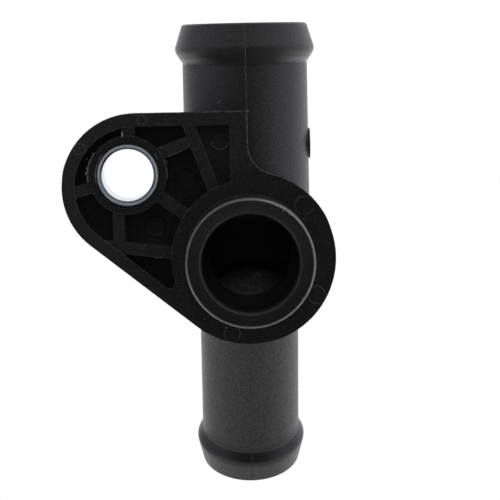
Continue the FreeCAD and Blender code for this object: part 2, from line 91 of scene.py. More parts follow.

# Bands across the stubs and the mouth, as the places along their axes where a band starts, is full,
# begins to fall and ends.
# The upper bead's foot and back carry painted shade, and its glint band a painted highlight.
UPPER_FOOT = (30.9, 31.2, 31.4, 31.8)
UPPER_BACK = (31.1, 31.5, 33.5, 34.4)
UPPER_GLINT = (31.3, 31.6, 32.1, 32.6)
LOWER_BACK = (34.6, 35.2, 37.4, 38.4)
# The mouth's bands stay at the plain colour inside the painted shade of the bore.
MOUTH_BANDS = (-5.4, -4.6, 2.0, 6.0)

# Cross sections of the trim, as shares of its width and height.
RIDGE = ((-0.5, -0.2), (-0.32, 0.55), (0.0, 1.0), (0.32, 0.55), (0.5, -0.2))
CRATER = ((-0.5, -0.2), (-0.25, 0.9), (0.0, 1.0), (0.6, 0.3), (1.1, -0.2))

# The lug's flash changes its height this far right of the lug's centre, and all of it is sunk a
# little into the edge that carries it.
FLASH_CHANGE = 7.2
FLASH_SINK = 0.03

# Length of one step along a burr.
BURR_STEP = 0.12

# Marks of the ejector pins: centre, diameter, depth of the face, first and last angle, share of the
# full height, and whether the mark is a clear one.
PIN_MARKS = (
    ("pin_mark_rim_top", (-16.87, 22.60), 1.45, 0.0, 0, 360, 1.0, True),
    ("pin_mark_rim_left", (-27.04, 18.18), 1.7, 0.0, 0, 360, 1.0, True),
    ("pin_mark_ring_high", (9.0, 8.35), 2.95, 0.0, 0, 360, 0.4, False),
    ("pin_mark_ring_low", (10.72, -6.19), 2.75, 0.0, 0, 360, 0.5, False),
    ("pin_mark_ring_left", (-3.05, -12.15), 2.5, 0.0, 0, 360, 0.3, False),
    ("pin_mark_middle_pocket", (-10.17, 12.64), 3.4, FLOOR_DEPTH, 0, 360, 0.16, True),
    ("pin_mark_hub_pocket", (-15.19, 5.24), 3.15, FLOOR_DEPTH, 0, 360, 0.25, False),
    ("pin_mark_top_pocket", (-4.37, 19.0), 3.0, SHALLOW_DEPTH, 0, 360, 0.25, False),
    ("pin_mark_left_pocket", (-24.60, 7.20), 3.1, FLOOR_DEPTH, 170, 300, 0.14, True),
)
# Lips on the lower side of two marks, pale: a painted highlight where light from above falls on the sunk
# marks' lower walls.
PIN_LIPS = (
    ("pin_lip_top_pocket", (-4.37, 19.0), 2.9, SHALLOW_DEPTH, 175, 350),
    ("pin_lip_hub_pocket", (-15.19, 5.24), 3.1, FLOOR_DEPTH, 205, 335),
)
PIN_MARK_WIDTH = 0.17
PIN_LIP_WIDTH = 0.3

# Torn lumps of plastic, and paler flecks: centre and half sizes.
CHIPS = (
    ("chip_boss_low", (-26.0, 0.02, 14.2), (0.26, 0.12, 0.3)),
    ("chip_boss_lower", (-25.85, 0.02, 13.4), (0.2, 0.12, 0.3)),
    ("chip_boss_middle", (-25.9, 0.02, 15.1), (0.18, 0.12, 0.34)),
    ("chip_boss_high", (-25.88, 0.02, 16.6), (0.14, 0.08, 0.12)),
    ("chip_brace_left", (-13.92, 0.32, 18.05), (0.2, 0.1, 0.12)),
    ("chip_foot", (-15.0, 0.32, 0.35), (0.2, 0.1, 0.1)),
    ("chip_lug_top", (-17.9, 0.1, 23.64), (0.22, 0.12, 0.12)),
    ("chip_lug_corner", (0.03, 0.04, 23.69), (0.26, 0.14, 0.2)),
    ("chip_rim_mark", (-27.12, 0.0, 18.36), (0.14, 0.05, 0.1)),
)
FLECKS = (
    ("fleck_ring_high", (8.89, 0.0, 6.09), (0.14, 0.08, 0.12)),
    ("fleck_lead_low", (8.06, -13.5, -5.65), (0.13, 0.08, 0.12)),
    ("fleck_ring_left", (-4.0, 0.0, -11.22), (0.16, 0.08, 0.12)),
    ("fleck_spigot_root", (-5.41, -4.51, 8.75), (0.12, 0.1, 0.08)),
    ("fleck_spigot_top", (-2.02, -3.82, 10.09), (0.12, 0.1, 0.08)),
    ("fleck_spigot_wall", (1.71, -10.62, 10.15), (0.1, 0.1, 0.08)),
    ("fleck_lead_middle", (4.31, -13.45, 8.96), (0.1, 0.06, 0.08)),
    ("fleck_lead_right", (5.23, -13.5, 8.16), (0.09, 0.06, 0.08)),
    ("fleck_lead_end", (6.16, -13.5, 7.59), (0.09, 0.06, 0.08)),
    ("fleck_upper_high", (-2.3, 2.9, 33.4), (0.1, 0.08, 0.1)),
    ("fleck_upper_left", (-3.46, 3.25, 32.33), (0.09, 0.08, 0.09)),
    ("fleck_upper_middle", (0.02, 2.74, 31.05), (0.09, 0.07, 0.09)),
    ("fleck_upper_right", (5.22, 4.14, 27.34), (0.09, 0.08, 0.09)),
    ("fleck_upper_low", (7.48, 5.96, 17.43), (0.1, 0.08, 0.1)),
    ("fleck_lower_right", (3.29, 16.95, -21.9), (0.09, 0.08, 0.09)),
    ("fleck_lower_left", (-0.31, 15.61, -20.93), (0.09, 0.07, 0.09)),
)

# First seeds of the random draws: each kind of trim has its own run.
PIN_MARK_SEED = 20
PIN_LIP_SEED = 21
CHIP_SEED = 40
BURR_SEED = 60

# The photograph's viewpoint, and the studio's sizes in metres.
CAMERA_PLACE = (-0.005851, -0.479276, 0.030658)
CAMERA_TURN = (86.4953, 1.1677, -0.7822)
FLOOR_RADIUS = 0.3
FLOOR_CENTRE_Y = 0.15


# Settings that a user would change.
class PlasticSettings(bpy.types.PropertyGroup):
    """Colour and surface of the moulded plastic."""

    colour: FloatVectorProperty(
        name="Colour",
        description="Base colour of the black plastic",
        subtype="COLOR",
        size=3,
        default=(0.0105, 0.0105, 0.0112),
        min=0.0,
        max=1.0,
    )
    roughness: FloatProperty(
        name="Roughness",
        description="Roughness of the smooth faces",
        subtype="FACTOR",
        default=0.3,
        min=0.0,
        max=1.0,
    )
    grain_size: FloatProperty(
        name="Grain size",
        description="Width of one grain of the spark-eroded finish on the stubs",
        unit="LENGTH",
        default=0.00025,
    )
    grain_depth: FloatProperty(
        name="Grain depth",
        description="Height of the grain on the stubs",
        unit="LENGTH",
        default=0.00008,
    )
    edge_width: FloatProperty(
        name="Edge width",
        description="How far the eased edges reach",
        unit="LENGTH",
        default=0.00014,
    )


class SteelSettings(bpy.types.PropertyGroup):
    """Colour and surface of the plated steel sleeve."""

    colour: FloatVectorProperty(
        name="Colour",
        description="Colour of the bright zinc",
        subtype="COLOR",
        size=3,
        default=(0.78, 0.80, 0.84),
        min=0.0,
        max=1.0,
    )
    roughness: FloatProperty(
        name="Roughness",
        description="Roughness of the plated surface",
        subtype="FACTOR",
        default=0.24,
        min=0.0,
        max=1.0,
    )


class MouldSettings(bpy.types.PropertyGroup):
    """Traces that the mould leaves on the plastic."""

    flash_width: FloatProperty(
        name="Flash width",
        description="Width of the thin fin on the parting lines",
        unit="LENGTH",
        default=0.00016,
    )
    flash_height: FloatProperty(
        name="Flash height",
        description="Height of the thin fin on the parting lines",
        unit="LENGTH",
        default=0.00009,
    )
    pin_mark_height: FloatProperty(
        name="Pin mark height",
        description="Height of the thin ring that an ejector pin leaves",
        unit="LENGTH",
        default=0.00006,
    )


class StudioSettings(bpy.types.PropertyGroup):
    """Camera, lamps and floor."""

    lens: FloatProperty(
        name="Lens",
        description="Focal length in millimetres",
        default=213.95,
    )
    lamp_level: FloatProperty(
        name="Lamp level",
        description="Power of the lamps, where 1 is the plain level",
        default=1.0,
        min=0.0,
    )
    floor_drop: FloatProperty(
        name="Floor drop",
        description="How far the floor lies under the mating face's centre",
        unit="LENGTH",
        default=0.24,
    )


# Shader helpers.
class Nodes:
    """Adds and links the nodes of one material or world."""

    def __init__(self, tree):
        self.tree = tree
        self.tree.nodes.clear()

    def add(self, kind, inputs=None, **settings):
        node = self.tree.nodes.new(kind)
        for name, value in settings.items():
            setattr(node, name, value)
        for socket, value in (inputs or {}).items():
            self.feed(node.inputs[socket], value)
        return node

    def feed(self, socket, value):
        if isinstance(value, bpy.types.NodeSocket):
            self.tree.links.new(value, socket)
        else:
            socket.default_value = value

    def math(self, operation, first, second=0.0):
        return self.add("ShaderNodeMath", {0: first, 1: second}, operation=operation).outputs[0]

    def product(self, first, *others):
        for other in others:
            first = self.math("MULTIPLY", first, other)
        return first

    def total(self, first, *others):
        for other in others:
            first = self.math("ADD", first, other)
        return first

    def largest(self, first, *others):
        for other in others:
            first = self.math("MAXIMUM", first, other)
        return first

    def opposite(self, mask):
        return self.math("SUBTRACT", 1.0, mask)

    def fade(self, value, low, high, to_low=0.0, to_high=1.0):
        node = self.add(
            "ShaderNodeMapRange",
            {"Value": value, "From Min": low, "From Max": high, "To Min": to_low, "To Max": to_high},
            interpolation_type="SMOOTHSTEP",
        )
        return node.outputs["Result"]

    def band(self, value, start, full, fall, end):
        """A mask that rises from start to full, and falls from fall to end."""
        return self.product(self.fade(value, start, full), self.fade(value, fall, end, 1.0, 0.0))

    def length(self, first, second):
        squares = self.total(self.product(first, first), self.product(second, second))
        return self.math("SQRT", squares)

    def polar(self, turn, turn_scale, reach, reach_scale):
        place = {0: self.product(turn, turn_scale), 1: self.product(reach, reach_scale)}
        return self.add("ShaderNodeCombineXYZ", place).outputs[0]

    def millimetres(self, place):
        """The X, Y and Z of a place in millimetres."""
        scaled = self.add("ShaderNodeVectorMath", {0: place, "Scale": 1.0 / MM}, operation="SCALE")
        return self.add("ShaderNodeSeparateXYZ", {0: scaled.outputs[0]}).outputs

    def from_bolt(self, x, z):
        """How far right of the bolt's axis and above it a place lies."""
        return self.math("SUBTRACT", x, BOLT_CENTRE[0]), self.math("SUBTRACT", z, BOLT_CENTRE[1])

    def mix_colour(self, factor, first, second):
        node = self.add("ShaderNodeMix", {"Factor": factor}, data_type="RGBA", blend_type="MIX")
        self.feed(node.inputs[6], first)
        self.feed(node.inputs[7], second)
        return node.outputs[2]

    def mix_value(self, factor, first, second):
        return self.add("ShaderNodeMix", {"Factor": factor, "A": first, "B": second}).outputs["Result"]

    def layered(self, colour, layers):
        """Lays colours over each other, each with its own mask."""
        for mask, tone in layers:
            colour = self.mix_colour(mask, colour, tone)
        return colour

    def noise(self, place, scale, detail=2.0, roughness=0.5):
        node = self.add(
            "ShaderNodeTexNoise",
            {"Vector": place, "Scale": scale, "Detail": detail, "Roughness": roughness},
        )
        return node.outputs["Fac"]

    def dot(self, first, second):
        node = self.add("ShaderNodeVectorMath", {0: first, 1: second}, operation="DOT_PRODUCT")
        return node.outputs["Value"]


def new_material(name):
    material = bpy.data.materials.new(name)
    material.use_nodes = True
    return material, Nodes(material.node_tree)


def finish_material(nodes, shader):
    nodes.add("ShaderNodeOutputMaterial", {"Surface": shader.outputs[0]})


def grey(value):
    return (value, value, value, 1.0)


def shade(colour, factor, lift=0.0):
    """A colour times a factor, which may differ for red, green and blue, plus a lift."""
    factors = factor if isinstance(factor, tuple) else (factor,) * 3
    return (*[part * share + lift for part, share in zip(colour, factors)], 1.0)


class HousingMasks:
    """Where a point lies on the housing: millimetres, masks from 0 to 1, and the plastic's textures."""

    def __init__(self, nodes, grain_size):
        self.nodes = nodes
        self.place = nodes.add("ShaderNodeTexCoord").outputs["Object"]
        self.x, self.y, self.z = nodes.millimetres(self.place)
        self.radius = nodes.length(self.x, self.z)
        self.off_middle = nodes.math("ABSOLUTE", self.x)
        self.past_junction = nodes.math("SUBTRACT", self.y, STUB_SETBACK)
        self.grain = nodes.noise(self.place, 1.0 / grain_size, 3.0, 0.6)
        self.fine = nodes.noise(self.place, 2.2 / grain_size, 1.0)
        self.cloud = nodes.noise(self.place, 160.0, 3.0, 0.55)
        self.flow = nodes.noise(self.place, 1300.0, 4.0, 0.65)
        self.find_finish()
        self.find_lug()
        self.find_spigot()
        self.find_bores()
        self.find_beads()

    def find_finish(self):
        """The flange is smooth, and everything behind, above or below it has the eroded finish."""
        nodes = self.nodes
        right_of_lug = nodes.fade(self.x, 0.0, 0.1)
        above_lug = nodes.fade(self.z, LUG_TOP, LUG_TOP + 0.1)
        below_ring = nodes.fade(self.z, -RING_RADIUS - 0.1, -RING_RADIUS, 1.0, 0.0)
        outside_ring = nodes.fade(self.radius, RING_RADIUS, RING_RADIUS + 0.15)
        off_face = nodes.fade(self.y, 0.3, 0.6)
        beyond = nodes.product(nodes.largest(right_of_lug, above_lug, below_ring), off_face, outside_ring)
        behind = nodes.fade(self.y, PLATE_THICKNESS, PLATE_THICKNESS + 0.2)
        self.eroded = nodes.largest(beyond, behind)

    def find_lug(self):
        """The lug without its boss, and the streaks that the melt left along ribs and rim."""
        nodes = self.nodes
        across, up = nodes.from_bolt(self.x, self.z)
        self.reach = nodes.length(across, up)
        turn = nodes.math("ARCTAN2", up, across)
        along_rays = nodes.polar(turn, 19.0, self.reach, 0.42)
        along_rings = nodes.polar(turn, 3.5, self.reach, 2.6)
        self.streaks = nodes.mix_value(
            nodes.fade(self.reach, 7.9, 8.8),
            nodes.noise(along_rays, 1.0, 3.0, 0.6),
            nodes.noise(along_rings, 1.0, 3.0, 0.6),
        )
        self.on_lug = nodes.product(
            nodes.fade(self.radius, RING_RADIUS - 0.3, RING_RADIUS + 0.6),
            nodes.fade(self.reach, BOSS_RADIUS - 0.05, BOSS_RADIUS + 0.35),
            nodes.fade(self.y, PLATE_THICKNESS, PLATE_THICKNESS + 0.2, 1.0, 0.0),
            nodes.opposite(self.eroded),
        )

    def find_spigot(self):
        """The end face of the spigot, with its painted shade, and its lead, with its painted highlight,
        round a centre a little below the axis.
        """
        nodes = self.nodes
        at_mouth = nodes.fade(self.y, 0.45 - SPIGOT_LENGTH, 0.55 - SPIGOT_LENGTH, 1.0, 0.0)
        self.paint_radius = nodes.length(self.x, nodes.total(self.z, SPIGOT_PAINT_DROP))
        lead = SPIGOT_RADIUS - 0.32
        self.on_lead = nodes.product(
            at_mouth,
            nodes.fade(self.paint_radius, lead, lead + 0.08),
            nodes.fade(self.radius, SPIGOT_RADIUS - 0.06, SPIGOT_RADIUS + 0.02, 1.0, 0.1),
        )
        self.on_end = nodes.product(
            at_mouth,
            nodes.fade(self.radius, MOUTH_RADIUS + 0.35, MOUTH_RADIUS + 0.45),
            nodes.fade(self.paint_radius, lead - 0.04, lead + 0.04, 1.0, 0.0),
        )

    def find_bores(self):
        """The bores, and the patch of painted light on the wall where the lower one turns away from the
        mouth, where the bore lamp's light falls.
        """
        nodes = self.nodes
        past_axis = nodes.largest(self.past_junction, 0.0)
        in_stub = nodes.fade(nodes.length(self.x, past_axis), 8.8, 9.5, 1.0, 0.0)
        from_leg_axis = nodes.total(
            nodes.product(self.past_junction, -LOWER_STUB["front"].y),
            nodes.product(self.z, -LOWER_STUB["front"].z),
        )
        in_leg = nodes.fade(nodes.length(self.x, from_leg_axis), 7.0, 7.8, 1.0, 0.0)
        mouth_end = MOUTH_RADIUS + 0.2
        in_mouth = nodes.fade(self.paint_radius, mouth_end, mouth_end + 0.08, 1.0, 0.0)
        self.in_bore = nodes.product(in_mouth, nodes.largest(in_stub, in_leg))
        # Painted light: a paler patch with a ragged top where the bore lamp's light falls.
        ragged_top = nodes.product(nodes.noise(self.place, 420.0, 3.0, 0.6), 6.0)
        self.painted_elbow_light = nodes.product(
            in_leg,
            nodes.fade(self.y, 19.0, 20.0),
            nodes.fade(nodes.total(self.z, ragged_top), -1.2, -2.6),
            nodes.fade(self.z, -11.0, -9.0),
            nodes.fade(self.radius, 9.5, 10.5, 1.0, 0.0),
            nodes.fade(self.off_middle, 1.2, 4.6, 1.0, 0.2),
        )

    def find_beads(self):
        """The smooth and dark back of the lower bead, the painted shade and painted highlight on the back
        of the upper bead, and the grain of the lower stub.
        """
        nodes = self.nodes
        self.bead_back = nodes.band(self.z, *UPPER_BACK)
        self.bead_foot = nodes.band(self.z, *UPPER_FOOT)
        self.glint = nodes.product(
            nodes.band(self.z, *UPPER_GLINT), nodes.fade(self.off_middle, 3.5, 10.5)
        )
        down_leg = nodes.total(
            nodes.product(self.past_junction, LOWER_STUB["along"].y),
            nodes.product(self.z, LOWER_STUB["along"].z),
        )
        self.leg = nodes.fade(self.z, -3.0, -13.5)
        below = nodes.product(self.eroded, self.leg)
        self.low_band = nodes.band(down_leg, *LOWER_BACK)
        self.low_back = nodes.product(below, self.low_band)
        self.low_end = nodes.product(below, nodes.fade(down_leg, *LOWER_BACK[2:]))
        self.rough_below = nodes.product(below, nodes.opposite(self.low_band))


def plastic_colour(nodes, at, colour, lift, edge):
    """Colour of the housing: the moulded surface first, then the streaks, painted shade and painted light
    laid over it.
    """
    black = shade(colour, 0.15)
    base = shade(colour, 1.0, lift)
    pale = shade(colour, 1.9, lift + 0.005)
    frosted = shade(colour, 2.8, 0.008)
    salty = shade(colour, 4.0, 0.03)
    sleeve_shade_tone = shade(colour, (0.62, 0.36, 0.3), lift)
    lead_highlight_tone = shade(colour, 6.0, 0.2)
    painted_glint_tone = shade(colour, 6.0, 0.07)
    elbow_light_tone = shade(colour, 5.0, 0.04)
    on_face = nodes.fade(at.y, -0.8, -0.4)
    flange = nodes.mix_colour(on_face, shade(colour, 0.7, lift), shade(colour, 0.95, lift))
    freckle = nodes.mix_colour(at.eroded, salty, frosted)
    pepper = nodes.mix_colour(nodes.fade(nodes.noise(at.place, 3900.0, 1.0), 0.4, 0.62), black, salty)
    # Painted highlight on the spigot's lead, broken up and weaker on the upper left.
    painted_lead_highlight = nodes.fade(at.flow, 0.3, 0.65, 0.5, 0.95)
    lead_highlight_side = nodes.fade(nodes.math("SUBTRACT", at.x, at.z), -13.0, -4.0, 0.45, 1.0)
    # Painted shade under the upper bead's back and along its foot.
    painted_bead_shade = nodes.largest(nodes.product(at.bead_back, 0.85), at.bead_foot)
    # Painted highlight: the eased edges paler, palest on the lug, and none in the bores.
    painted_edge_highlight = nodes.product(
        edge, nodes.fade(at.flow, 0.35, 0.65, 0.2, 0.85), nodes.opposite(at.in_bore)
    )
    edge_highlight_tone = nodes.mix_colour(
        at.on_lug, shade(colour, 3.4, lift + 0.012), shade(colour, 5.0, lift + 0.03)
    )
    layers = (
        # The finish from the mould, and painted light in the lug's pockets.
        (nodes.largest(at.on_lug, at.eroded), base),
        (nodes.fade(at.cloud, 0.35, 0.7, 0.0, 0.5), base),
        (nodes.product(at.eroded, nodes.fade(at.grain, 0.47, 0.66, 0.0, 0.75)), frosted),
        (nodes.fade(at.flow, 0.52, 0.68, 0.0, 0.6), pale),
        # Painted light: the lug's pockets paler with depth, lifting the shade in them.
        (nodes.product(at.on_lug, nodes.fade(at.y, 1.0, 2.4, 0.0, 0.35)), pale),
        (nodes.fade(at.grain, 0.54, 0.68, 0.0, 0.8), freckle),
        # The finer grain of the lower stub, and the smooth back of its bead.
        (nodes.product(at.rough_below, 0.65), pepper),
        (nodes.product(at.low_back, 0.8), base),
        (nodes.product(at.low_end, 0.75), salty),
        # Streaks of the lug, the lug paler towards its left end, and painted shade, tinted brown, beside
        # the sleeve.
        (nodes.product(at.on_lug, nodes.fade(at.streaks, 0.46, 0.66, 0.0, 0.6)), pale),
        (nodes.product(at.on_lug, nodes.fade(at.x, -16.0, -30.0, 0.0, 0.6)), pale),
        # Painted shade, tinted brown, darkening the boss towards the sleeve.
        (nodes.fade(at.reach, SLEEVE_RADIUS + 0.05, BOSS_RADIUS - 0.05, 0.6, 0.0), sleeve_shade_tone),
        # Painted shade on the spigot's end, heavier towards the bottom, and a painted highlight on its
        # lead.
        (nodes.product(at.on_end, nodes.fade(at.z, 5.0, -6.0, 0.35, 0.8)), black),
        (nodes.product(at.on_lead, painted_lead_highlight, lead_highlight_side), lead_highlight_tone),
        # Painted shade under the back of the upper bead, and a painted highlight at its sides.
        (nodes.product(painted_bead_shade, at.eroded), black),
        (at.glint, painted_glint_tone),
        # The bores with painted shade and painted light, the painted light on the elbow wall, and then
        # the painted highlight on every eased edge.
        (at.in_bore, bore_colour(nodes, at, colour, lift)),
        (nodes.product(at.painted_elbow_light, nodes.fade(at.flow, 0.36, 0.66, 0.15, 1.0)), elbow_light_tone),
        (painted_edge_highlight, edge_highlight_tone),
    )
    return nodes.layered(flange, layers)


def bore_colour(nodes, at, colour, lift):
    """Colour inside: painted shade in the mouth, black but for a few bands, and painted light behind the
    throat, paler on the walls than on the floor.
    """
    rings = nodes.add("ShaderNodeCombineXYZ", {1: at.y}).outputs[0]
    dull_rings = nodes.fade(nodes.noise(rings, 0.62, 1.0), 0.36, 0.6, 0.3, 1.0)
    dull = nodes.product(nodes.band(at.y, *MOUTH_BANDS), dull_rings)
    # Painted shade: the mouth black, but for a few bands at the plain colour.
    mouth = nodes.mix_colour(dull, shade(colour, 0.15), shade(colour, 1.0, lift))
    beside_middle = nodes.fade(at.off_middle, 0.5, 3.5, 0.0, 0.4)
    off_floor = nodes.largest(nodes.fade(at.z, -2.8, -0.5), beside_middle)
    # Painted light: the walls behind the throat paler than the floor, lifting the shade there.
    painted_core_light = nodes.mix_colour(off_floor, shade(colour, 1.3), shade(colour, 5.5))
    return nodes.mix_colour(nodes.fade(at.y, THROAT_END - 0.17, THROAT_END + 0.23), mouth, painted_core_light)


def plastic_material(name, lift=0.0):
    """Black glass-filled nylon: smooth flange, spark-eroded stubs, and a painted highlight on the eased
    edges.
    """
    settings = bpy.context.scene.flange_plastic
    material, nodes = new_material(name)
    at = HousingMasks(nodes, settings.grain_size)
    eased = nodes.add("ShaderNodeBevel", {"Radius": settings.edge_width}, samples=6).outputs[0]
    true_normal = nodes.add("ShaderNodeNewGeometry").outputs["Normal"]
    edge = nodes.fade(nodes.dot(eased, true_normal), 0.995, 0.86)

    rough = nodes.total(
        settings.roughness - 0.05,
        nodes.product(at.cloud, 0.1),
        nodes.product(at.eroded, 0.02),
        nodes.product(at.on_lug, 0.05),
        nodes.product(at.in_bore, 0.3),
        nodes.product(at.bead_back, nodes.fade(at.off_middle, 4.0, 9.0, 0.3, -0.1)),
    )
    coarse = nodes.product(
        at.eroded,
        nodes.total(nodes.product(at.leg, 0.8), 0.9),
        nodes.opposite(nodes.product(at.low_band, 0.8)),
    )
    height = nodes.total(
        nodes.product(nodes.total(at.grain, nodes.product(at.fine, 0.4)), coarse),
        nodes.product(at.flow, 0.09),
        nodes.product(at.grain, 0.2),
        nodes.product(at.streaks, at.on_lug, 0.08),
    )
    bump = nodes.add(
        "ShaderNodeBump",
        {"Strength": 1.0, "Distance": settings.grain_depth, "Height": height, "Normal": eased},
    )
    colour = plastic_colour(nodes, at, settings.colour, lift, edge)
    shader = nodes.add(
        "ShaderNodeBsdfPrincipled",
        {"Base Color": colour, "Roughness": rough, "Normal": bump.outputs[0], "IOR": 1.5},
    )
    finish_material(nodes, shader)
    return material


def flash_material(name, lift):
    """Thin flash and torn burrs, where the plastic is paler because it is rough and thin."""
    settings = bpy.context.scene.flange_plastic
    material, nodes = new_material(name)
    place = nodes.add("ShaderNodeTexCoord").outputs["Object"]
    patches = nodes.noise(place, 1400.0, 3.0, 0.6)
    dark = shade(settings.colour, 2.0, lift * 0.3)
    light = shade(settings.colour, 6.0, 0.02 + lift)
    colour = nodes.mix_colour(nodes.fade(patches, 0.4, 0.66), dark, light)
    bump = nodes.add("ShaderNodeBump", {"Strength": 0.6, "Distance": 0.01 * MM, "Height": patches})
    rough = nodes.fade(patches, 0.3, 0.7, 0.34, 0.6)
    shader = nodes.add(
        "ShaderNodeBsdfPrincipled",
        {"Base Color": colour, "Roughness": rough, "Normal": bump.outputs[0]},
    )
    finish_material(nodes, shader)
    return material


def steel_material():
    """Bright zinc plate over a turned and pressed steel tube."""
    settings = bpy.context.scene.flange_steel
    material, nodes = new_material("bright_zinc_steel")
    place = nodes.add("ShaderNodeTexCoord").outputs["Object"]
    stretched = nodes.add(
        "ShaderNodeMapping",
        {"Vector": place, "Scale": (700.0, 5200.0, 700.0)},
    ).outputs[0]
    turned = nodes.noise(stretched, 1.0, 3.0, 0.6)
    spangle = nodes.noise(place, 900.0, 4.0, 0.6)
    axes = nodes.millimetres(place)
    reach = nodes.length(*nodes.from_bolt(axes["X"], axes["Z"]))
    chamfer_end = SLEEVE_BORE_RADIUS + SLEEVE_CHAMFER
    on_face = nodes.fade(reach, chamfer_end, chamfer_end + 0.03)
    on_wall = nodes.fade(reach, SLEEVE_BORE_RADIUS, SLEEVE_BORE_RADIUS + 0.02, 1.0, 0.0)
    bright = shade(settings.colour, 1.0)
    dull = shade(settings.colour, (0.72, 0.75, 0.8))
    dark = shade(settings.colour, (0.22, 0.26, 0.33))
    plated = nodes.mix_colour(nodes.fade(spangle, 0.38, 0.7, 0.0, 0.5), bright, dull)
    # Painted shade: the chamfer between face and bore is dark, standing in for the dark that it reflects.
    colour = nodes.mix_colour(nodes.largest(on_face, on_wall), dark, plated)
    rough = nodes.fade(turned, 0.3, 0.7, settings.roughness - 0.06, settings.roughness + 0.06)
    rough = nodes.total(rough, nodes.product(on_face, 0.28))
    bump = nodes.add("ShaderNodeBump", {"Strength": 0.3, "Distance": 0.01 * MM, "Height": turned})
    shader = nodes.add(
        "ShaderNodeBsdfPrincipled",
        {"Base Color": colour, "Roughness": rough, "Metallic": 1.0, "Normal": bump.outputs[0]},
    )
    finish_material(nodes, shader)
    return material


# Mesh helpers.
def keep_piece(name, mesh, material):
    """Links a finished mesh as a piece that rides with the part."""
    piece = bpy.data.objects.new(name, mesh)
    bpy.context.scene.collection.objects.link(piece)
    piece.data.materials.append(material)
    for face in piece.data.polygons:
        face.use_smooth = True
    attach(piece, "root")


def ridge_mesh(name, path, width, height, seed, closed=False, wobble=0.35, profile=RIDGE):
    """A thin ridge along a path of (point, outward, across), in millimetres."""
    chance = random.Random(seed)
    mesh = bpy.data.meshes.new(name)
    work = bmesh.new()
    rings = []
    last = len(path) - 1
    drift = 1.0
    for index, (point, outward, across) in enumerate(path):
        drift = 0.6 * drift + 0.4 * (1.0 + wobble * chance.uniform(-1.0, 1.0))
        ease = 1.0
        if not closed:
            ease = min(1.0, 0.25 + min(index, last - index) / 3.0)
        ring = []
        for side, rise in profile:
            place = point + across * (side * width * ease) + outward * (rise * height * drift * ease)
            ring.append(work.verts.new(place * MM))
        rings.append(ring)
    spans = list(zip(rings, rings[1:]))
    if closed:
        spans.append((rings[-1], rings[0]))
    for near, far in spans:
        for side in range(len(profile) - 1):
            work.faces.new((near[side], near[side + 1], far[side + 1], far[side]))
        work.faces.new((near[-1], near[0], far[0], far[-1]))
    if not closed:
        work.faces.new(rings[0])
        work.faces.new(list(reversed(rings[-1])))
    bmesh.ops.recalc_face_normals(work, faces=work.faces)
    work.to_mesh(mesh)
    work.free()
    return mesh


def chip_mesh(name, place, size, seed):
    """A small torn lump of plastic, sunk partly into the face that carries it."""
    chance = random.Random(seed)
    mesh = bpy.data.meshes.new(name)
    work = bmesh.new()
    bmesh.ops.create_icosphere(work, subdivisions=2, radius=1.0)
    for vertex in work.verts:
        swell = chance.uniform(0.72, 1.12)
        vertex.co = Vector(tuple(part * swell * reach for part, reach in zip(vertex.co, size)))
        vertex.co = (vertex.co + place) * MM
    work.to_mesh(mesh)
    work.free()
    return mesh


# The lines that the trim follows.
def stub_line(stub, start):
    """Points and normals along the front of a stub, from a height on its axis to its mouth."""
    radius, length, round_size = stub["radius"], stub["length"], stub["bead_round"]
    crest_centre = (radius + stub["bead_height"] - round_size, length - stub["bead_setback"])
    out, back = crest_centre[0] - radius, crest_centre[1] - length
    lean = math.asin(round_size / math.hypot(out, back))
    touch = math.atan2(back, out) + lean + math.pi / 2
    first = BEAD_BACK - math.pi / 2
    back_point = (
        crest_centre[0] + round_size * math.cos(first),
        crest_centre[1] + round_size * math.sin(first),
    )
    foot = back_point[1] - (back_point[0] - radius) * math.tan(BEAD_BACK)
    wall_steps = 36
    profile = []
    for step in range(wall_steps + 1):
        profile.append((radius, start + (foot - start) * step / wall_steps, 0.0))
    for step in range(7):
        angle = first + (touch - first) * step / 6
        profile.append(
            (
                crest_centre[0] + round_size * math.cos(angle),
                crest_centre[1] + round_size * math.sin(angle),
                angle,
            )
        )
    end = (radius + STUB_CHAMFER / 2, length - STUB_CHAMFER)
    start_of_cone = profile[-1]
    for step in range(1, 7):
        share = step / 6
        profile.append(
            (
                start_of_cone[0] + (end[0] - start_of_cone[0]) * share,
                start_of_cone[1] + (end[1] - start_of_cone[1]) * share,
                touch,
            )
        )
    junction = Vector((0, STUB_SETBACK, 0))
    path = []
    for reach, height, angle in profile:
        point = junction + stub["along"] * height + stub["front"] * reach
        outward = stub["front"] * math.cos(angle) + stub["along"] * math.sin(angle)
        path.append((point, outward, Vector((1, 0, 0))))
    return path


def arc_points(centre, radius, first, last, steps):
    """Points of an arc in the plate's plane, as (x, z, angle)."""
    points = []
    for step in range(steps + 1):
        angle = math.radians(first + (last - first) * step / steps)
        points.append((centre[0] + radius * math.cos(angle), centre[1] + radius * math.sin(angle), angle))
    return points


def edge_point(x, z, normal_x, normal_z):
    """A point of the plate's front edge, where the flash stands out at 45 degrees."""
    half = math.sqrt(0.5)
    outward = Vector((normal_x * half, -half, normal_z * half))
    across = Vector((normal_x * half, half, normal_z * half))
    return Vector((x, FLASH_SINK, z)), outward, across


def lug_edge_line():
    """The front edge of the lug from its outer arc along the top."""
    path = []
    for x, z, angle in arc_points(LUG_CENTRE, LUG_RADIUS, 172, 90, 30):
        path.append(edge_point(x, z, math.cos(angle), math.sin(angle)))
    for step in range(1, 14):
        path.append(edge_point(LUG_CENTRE[0] + FLASH_CHANGE * step / 13, LUG_TOP, 0, 1))
    return path


